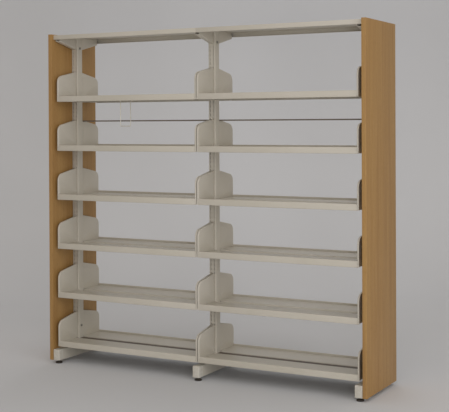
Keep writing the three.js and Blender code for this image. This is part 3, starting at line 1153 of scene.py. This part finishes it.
@dataclass
class LevellingGlide:
    """A round floor glide on a screw stem with grip ribs, in metres."""

    radius: float
    height: float
    disc: float = 9 * MM
    edge: float = 1.6 * MM
    neck: float = 9 * MM
    stem: float = 5 * MM
    neck_top: float = 18 * MM
    ribs: int = 28
    rib: tuple[float, float, float] = (1.0 * MM, 1.4 * MM, 4.4 * MM)
    sides: int = 40

    def mesh(self, tree: Grower, material: Material) -> Mesh:
        """Builds the glide about the Z axis.

        Args:
            tree: the tree that adds the ribs.
            material: the glide's material.

        Returns:
            The closed mesh.
        """
        inner = self.radius - self.rib[0] / 2
        profile = [
            (0, 0),
            (inner - self.edge, 0),
            (inner, self.edge),
            (inner, self.disc - self.edge),
            (inner - self.edge, self.disc),
            (self.neck + self.edge, self.disc + self.edge / 2),
            (self.neck, self.disc + 2 * self.edge),
            (self.neck, self.neck_top),
            (self.stem, self.neck_top),
            (self.stem, self.height),
            (0, self.height),
        ]
        ring = {"Count": self.ribs, "Radius": inner, "Rib": self.rib, "Height": self.disc / 2}
        return smoothed(tree.grow(lathe(profile, self.sides), **ring, Material=material))


@dataclass
class SocketBolt:
    """A domed bolt with a hex socket, along X with its head at +X and its tip at -X, in metres."""

    head_face: float
    run: float
    radius: float = 4 * MM
    head_radius: float = 8 * MM
    head: float = 5 * MM
    # the share of the head that is a straight rim below its dome
    rim: float = 0.25
    dome_turns: tuple[int, ...] = (0, 18, 36, 54, 66)
    socket: float = 2.9 * MM
    socket_depth: float = 2.6 * MM
    sides: int = 36

    def head_rows(self) -> list[tuple[float, float]]:
        """The rings of a domed head, from its seat to the rim of its socket."""
        arc = [math.radians(a) for a in self.dome_turns]
        low = self.head_face + self.rim * self.head
        dome = (1 - self.rim) * self.head
        rings = [(self.head_radius * math.cos(a), low + dome * math.sin(a)) for a in arc]
        return [(self.head_radius, self.head_face), *rings]

    def mesh(self, has_nut: bool) -> Mesh:
        """Builds the bolt.

        Args:
            has_nut: whether its other end has a head of the same shape.

        Returns:
            The closed mesh.
        """
        head = self.head_rows()
        crown = head[-1][1]
        floor = crown - self.socket_depth
        mouth = [(self.socket, crown), (self.socket, floor), (0, floor)]
        nut = [(0, -crown), *((r, -z) for r, z in reversed(head)), (self.radius, -self.head_face)]
        plain = [(0, -self.run), (self.radius, -self.run)]
        profile = [*(nut if has_nut else plain), (self.radius, self.head_face), *head]
        turns = turns_of(self.sides)
        sector = math.pi / 3
        hexed = [math.cos(sector / 2) / math.cos(a % sector - sector / 2) for a in turns]
        rows = [[Vector((z, r * math.cos(a), r * math.sin(a))) for a in turns] for r, z in profile]
        for r, z in mouth:
            ring = [(r * h, a) for a, h in zip(turns, hexed)]
            rows.append([Vector((z, out * math.cos(a), out * math.sin(a))) for out, a in ring])
        form = bmesh.new()
        strip(form, rows, closed=True)
        return smoothed(mesh_of(form))


@dataclass
class WireSupport:
    """A bent wire that hangs from the edges turned in under a tray, in metres."""

    low: Vector
    high: Vector
    span: float = 108 * MM
    radius: float = 2.5 * MM
    bend: float = 11 * MM

    def mesh(self, tree: Grower, material: Material) -> Mesh:
        """Builds the wire.

        Args:
            tree: the tree that bends and rounds a line.
            material: the wire's material.

        Returns:
            The closed mesh.
        """
        middle = (self.low + self.high) / 2
        seat = self.high.z - self.radius
        bottom = self.low.z + self.radius
        front, rear = middle.y - self.span / 2, middle.y + self.span / 2
        line = [(self.low.y, seat), (front, seat), (front, bottom)]
        line += [(rear, bottom), (rear, seat), (self.high.y, seat)]
        path = line_mesh([Vector((middle.x, y, z)) for y, z in line])
        wire = tree.grow(path, Radius=self.radius, Bend=self.bend, Material=material)
        return smoothed(wire, ROUND_ANGLE)


@dataclass(frozen=True)
class Lamp:
    """A square soft lamp that faces the middle of the row, in metres, watts and degrees."""

    name: str
    place: tuple[float, float, float]
    size: float
    watts: float
    tint: str = "#fafbff"
    # a grid in front of a lamp narrows its spread
    spread: float = 180.0
    aim: tuple[float, float, float] = (0.0, 0.0, 1.0)

    def hang(self) -> None:
        """Hangs the lamp."""
        data = bpy.data.lights.new(self.name, "AREA")
        data.shape = "SQUARE"
        data.size = self.size
        data.energy = self.watts
        data.color = linear(self.tint)[:3]
        data.spread = math.radians(self.spread)
        facing = (Vector(self.aim) - Vector(self.place)).to_track_quat("-Z", "Y")
        add_object(self.name, data).matrix_world = moved(*self.place) @ facing.to_matrix().to_4x4()


@dataclass
class Studio:
    """The floor, lamps, surroundings and camera, in metres and degrees."""

    # the photograph's camera, fitted to the frame's corners
    eye: tuple[float, float, float] = (3.0442, -5.4866, 1.4633)
    yaw: float = 28.47
    pitch: float = -0.42
    roll: float = -0.27
    focal_pixels: float = 1070.5
    axis_above_middle: float = 74.4
    sensor: float = 36.0
    view_reach: float = 100.0
    paper: str = "#dee0e4"
    paper_shade: str = "#d8dade"
    paper_drift_mm: float = 2500.0
    floor_reach: float = 14.0
    wall_place: float = 5.0
    wall_height: float = 9.0
    sweep: float = 2.5
    sweep_steps: int = 24
    surroundings: str = "#fff6ea"
    glow: float = 0.46
    # what shows past the ends of the paper, about as bright as the lit paper
    distance: str = "#a5a3a1"
    lamps: tuple[Lamp, ...] = (
        Lamp("key", (1.8, -5.2, 4.4), 4.0, 50.0),
        Lamp("side", (6.4, -3.2, 2.5), 3.6, 78.0),
        Lamp("back", (-1.0, 4.0, 5.0), 3.0, 30.0),
        Lamp("fill", (3.4, -5.2, 1.2), 1.2, 6.0, spread=60.0),
    )

    def camera(self) -> None:
        """Places the camera; its shift stands for a lens raised in the level camera."""
        data = bpy.data.cameras.new("camera")
        data.sensor_fit = "HORIZONTAL"
        data.sensor_width = self.sensor
        data.lens = self.sensor * self.focal_pixels / IMAGE_WIDTH
        data.shift_y = -self.axis_above_middle / IMAGE_WIDTH
        data.clip_end = self.view_reach
        turn = Matrix.Rotation(math.radians(self.yaw), 4, "Z")
        tilt = Matrix.Rotation(math.radians(90 + self.pitch), 4, "X")
        lean = Matrix.Rotation(math.radians(self.roll), 4, "Z")
        camera = add_object("camera", data)
        camera.matrix_world = moved(*self.eye) @ turn @ tilt @ lean
        bpy.context.scene.camera = camera

    def floor(self) -> None:
        """Builds the pale floor that sweeps up into a backdrop, which is clear when seen from behind."""
        corners = ((-self.floor_reach, 0), (self.wall_place, 0), (self.wall_place, self.wall_height))
        line = filleted([Vector(p) for p in corners], self.sweep, self.sweep_steps)
        mesh = smoothed(drawn(line, (-self.floor_reach, self.floor_reach)), ROUND_ANGLE)
        mesh.transform(Matrix.Rotation(math.radians(self.yaw), 4, "Z"))
        mesh.flip_normals()
        brush = Brush("backdrop_paper")
        colour = brush.layered(brush.blotches(self.paper_drift_mm), self.paper, self.paper_shade)
        paper = add_node(brush.tree, "ShaderNodeBsdfDiffuse", {"Color": colour})
        clear = add_node(brush.tree, "ShaderNodeBsdfTransparent")
        behind = add_node(brush.tree, "ShaderNodeNewGeometry").outputs["Backfacing"]
        shader = add_node(brush.tree, "ShaderNodeMixShader", {0: behind, 1: paper, 2: clear})
        add_node(brush.tree, "ShaderNodeOutputMaterial", {"Surface": shader})
        mesh.materials.append(brush.material)
        add_object("floor", mesh)

    def light(self) -> None:
        """Hangs the lamps and sets the even surroundings, which look like the lit paper."""
        for lamp in self.lamps:
            lamp.hang()
        world = bpy.data.worlds.new("surroundings")
        world.use_nodes = True
        tree = world.node_tree
        tree.nodes.clear()
        even = {"Color": linear(self.surroundings), "Strength": self.glow}
        glow = add_node(tree, "ShaderNodeBackground", even)
        view = add_node(tree, "ShaderNodeBackground", {"Color": linear(self.distance)})
        rays = add_node(tree, "ShaderNodeLightPath").outputs
        seen = rays["Is Camera Ray"]
        for ray in ("Is Glossy Ray", "Is Transmission Ray"):
            seen = add_node(tree, "ShaderNodeMath", {0: seen, 1: rays[ray]}, operation="MAXIMUM")
        shown = add_node(tree, "ShaderNodeMixShader", {0: seen, 1: glow, 2: view})
        add_node(tree, "ShaderNodeOutputWorld", {"Surface": shown})
        bpy.context.scene.world = world
        bpy.context.scene.view_settings.view_transform = "Standard"

    def build(self) -> None:
        """Sets up the whole studio."""
        self.camera()
        self.floor()
        self.light()


class Shelving:
    """The whole row: builds each sub-assembly from the frame's boxes and dresses it."""

    panel_edge = 1.6 * MM
    panel_edge_steps = 3

    def __init__(self, frame: dict) -> None:
        """Takes the frame and makes the shared materials and trees.
        """
        self.nodes = frame["nodes"]
        self.dresser = Dresser()
        self.materials = self.dresser.materials
        self.stacker = stacker()
        self.ribber = ribber()
        self.bender = bender()

    def shelves(self) -> None:
        """Hangs a tray unit on every body that has one."""
        low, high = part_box("shelf_left_front_1")
        post_low, post_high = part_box("upright_left")
        rod_low, rod_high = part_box("rod_left")
        tray = ShelfUnit(
            half_bay=-(post_low.x + post_high.x) / 4,
            upright_half=post_high.y + GAP,
            reach=-low.y,
            back=post_high.y + BACK_GAP,
            height=high.z - low.z,
            rod_place=(rod_low.y + rod_high.y) / 2,
            rod_radius=(rod_high.z - rod_low.z) / 2,
        )
        plain = tray.mesh()
        notched = tray.notched(plain.copy())
        for bay in Bay:
            for side in Side:
                for level in LEVELS:
                    node = f"shelf_{bay.value}_{side.value}_{level}"
                    low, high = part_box(node)
                    holds_rod = side is Side.REAR and level == ROD_LEVEL
                    place = moved((low.x + high.x) / 2, 0, low.z) @ side.turn
                    unit = placed(notched if holds_rod else plain, place)
                    self.dresser.settle(node, "unit", unit, Finish.CREAM, node)

    def uprights(self) -> None:
        """Builds the slotted uprights."""
        shelf_low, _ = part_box("shelf_left_front_1")
        slot = shelf_low.z + ShelfUnit.hook_low - GAP
        for post in Post:
            node = f"upright_{post.value}"
            low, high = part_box(node)
            upright = SlottedUpright(high.x - low.x, high.y - low.y, low.z, high.z, slot)
            tube = upright.mesh(self.stacker, self.materials[Finish.CREAM])
            mesh = placed(tube, moved((low.x + high.x) / 2))
            self.dresser.settle(node, "tube", mesh, Finish.CREAM)

    def feet(self) -> None:
        """Builds the legs, foot caps and glides."""
        for post in Post:
            leg = f"leg_{post.value}"
            leg_low, leg_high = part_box(leg)
            self.dresser.settle(leg, "tube", BoxLeg(leg_low, leg_high).mesh(), Finish.CREAM)
            back = leg_high.y + GAP
            for side in Side:
                cap = f"foot_cap_{post.value}_{side.value}"
                low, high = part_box(cap)
                length = max(high.y, -low.y) - back
                moulding = FootCap(high.x - low.x, length, high.z - low.z).mesh()
                place = moved((low.x + high.x) / 2) @ side.turn @ moved(0, -back, low.z)
                self.dresser.settle(cap, "moulding", placed(moulding, place), Finish.PALE)
                glide = f"glide_{post.value}_{side.value}"
                low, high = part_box(glide)
                foot = LevellingGlide((high.x - low.x) / 2, high.z)
                disc = foot.mesh(self.ribber, self.materials[Finish.BLACK])
                mesh = placed(disc, moved((low.x + high.x) / 2, (low.y + high.y) / 2))
                self.dresser.settle(glide, "disc", mesh, Finish.BLACK, glide)

    def ends(self) -> None:
        """Builds the end panels, canopies and canopy arms, and paints the base spreaders dark, partly as
        painted shade for the gap between the base trays.
        """
        for bay in Bay:
            panel = f"end_panel_{bay.value}"
            board = EasedBlock(*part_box(panel), self.panel_edge, self.panel_edge_steps).mesh()
            self.dresser.settle(panel, "board", board, Finish.OAK)
            canopy = f"canopy_{bay.value}"
            low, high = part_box(canopy)
            top = CanopyTop(low.x, high.x, high.z, high.y, high.z - low.z).mesh()
            self.dresser.settle(canopy, "sheet", top, Finish.CREAM)
            # the spreader is dark partly as painted shade for the gap between the base trays
            self.dresser.paint(self.nodes[f"base_spreader_{bay.value}"], Finish.DARK)
        for post in Post:
            bracket = f"canopy_bracket_{post.value}"
            low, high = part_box(bracket)
            _, post_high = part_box(f"upright_{post.value}")
            plug = Vector(((high.x - low.x) / 2, post_high.y - SlottedUpright.wall - GAP, 0))
            arms = CanopyArms(high.z, high.y, post_high.y + GAP, plug, low.z).mesh()
            self.dresser.settle(bracket, "arms", placed(arms, moved((low.x + high.x) / 2)), Finish.CREAM)

    def bolts(self) -> None:
        """Builds the bolts through the uprights, with their heads towards the middle of the row."""
        for post in Post:
            post_low, post_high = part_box(f"upright_{post.value}")
            middle = (post_low.x + post_high.x) / 2
            is_right = post is Post.RIGHT
            for node in (f"canopy_bolt_{post.value}", f"panel_bolt_{post.value}"):
                if node not in self.nodes:
                    continue
                low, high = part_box(node)
                runs = (high.x - middle, middle - low.x)
                ahead, behind = reversed(runs) if is_right else runs
                bolt = SocketBolt(ahead - SocketBolt.head, behind).mesh(post is Post.CENTRE)
                turn = Matrix.Rotation(math.pi if is_right else 0.0, 4, "Z")
                place = moved(middle, 0, (low.z + high.z) / 2) @ turn
                self.dresser.settle(node, "steel", placed(bolt, place), Finish.ZINC)

    def wires(self) -> None:
        """Builds the rods and the wire book support."""
        for bay in Bay:
            node = f"rod_{bay.value}"
            low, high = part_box(node)
            middle = (low + high) / 2
            line = line_mesh([Vector((x, middle.y, middle.z)) for x in (low.x, high.x)])
            radius = (high.z - low.z) / 2
            rod = self.bender.grow(line, Radius=radius, Bend=0.0, Material=self.materials[Finish.ROD])
            body = f"shelf_{bay.value}_{Side.REAR.value}_{ROD_LEVEL}"
            self.dresser.settle(node, "steel", smoothed(rod, ROUND_ANGLE), Finish.ROD, body)
        node = "wire_book_support"
        wire = WireSupport(*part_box(node)).mesh(self.bender, self.materials[Finish.WIRE])
        self.dresser.settle(node, "loop", wire, Finish.WIRE, node)

    def build(self) -> None:
        """Builds every sub-assembly in order."""
        self.uprights()
        self.feet()
        self.ends()
        self.bolts()
        self.shelves()
        self.wires()


def main() -> None:
    """Loads the frame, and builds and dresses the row."""
    logging.basicConfig(level=logging.INFO, format="%(message)s")
    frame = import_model()
    Studio().build()
    Shelving(frame).build()


if __name__ == "__main__":
    main()
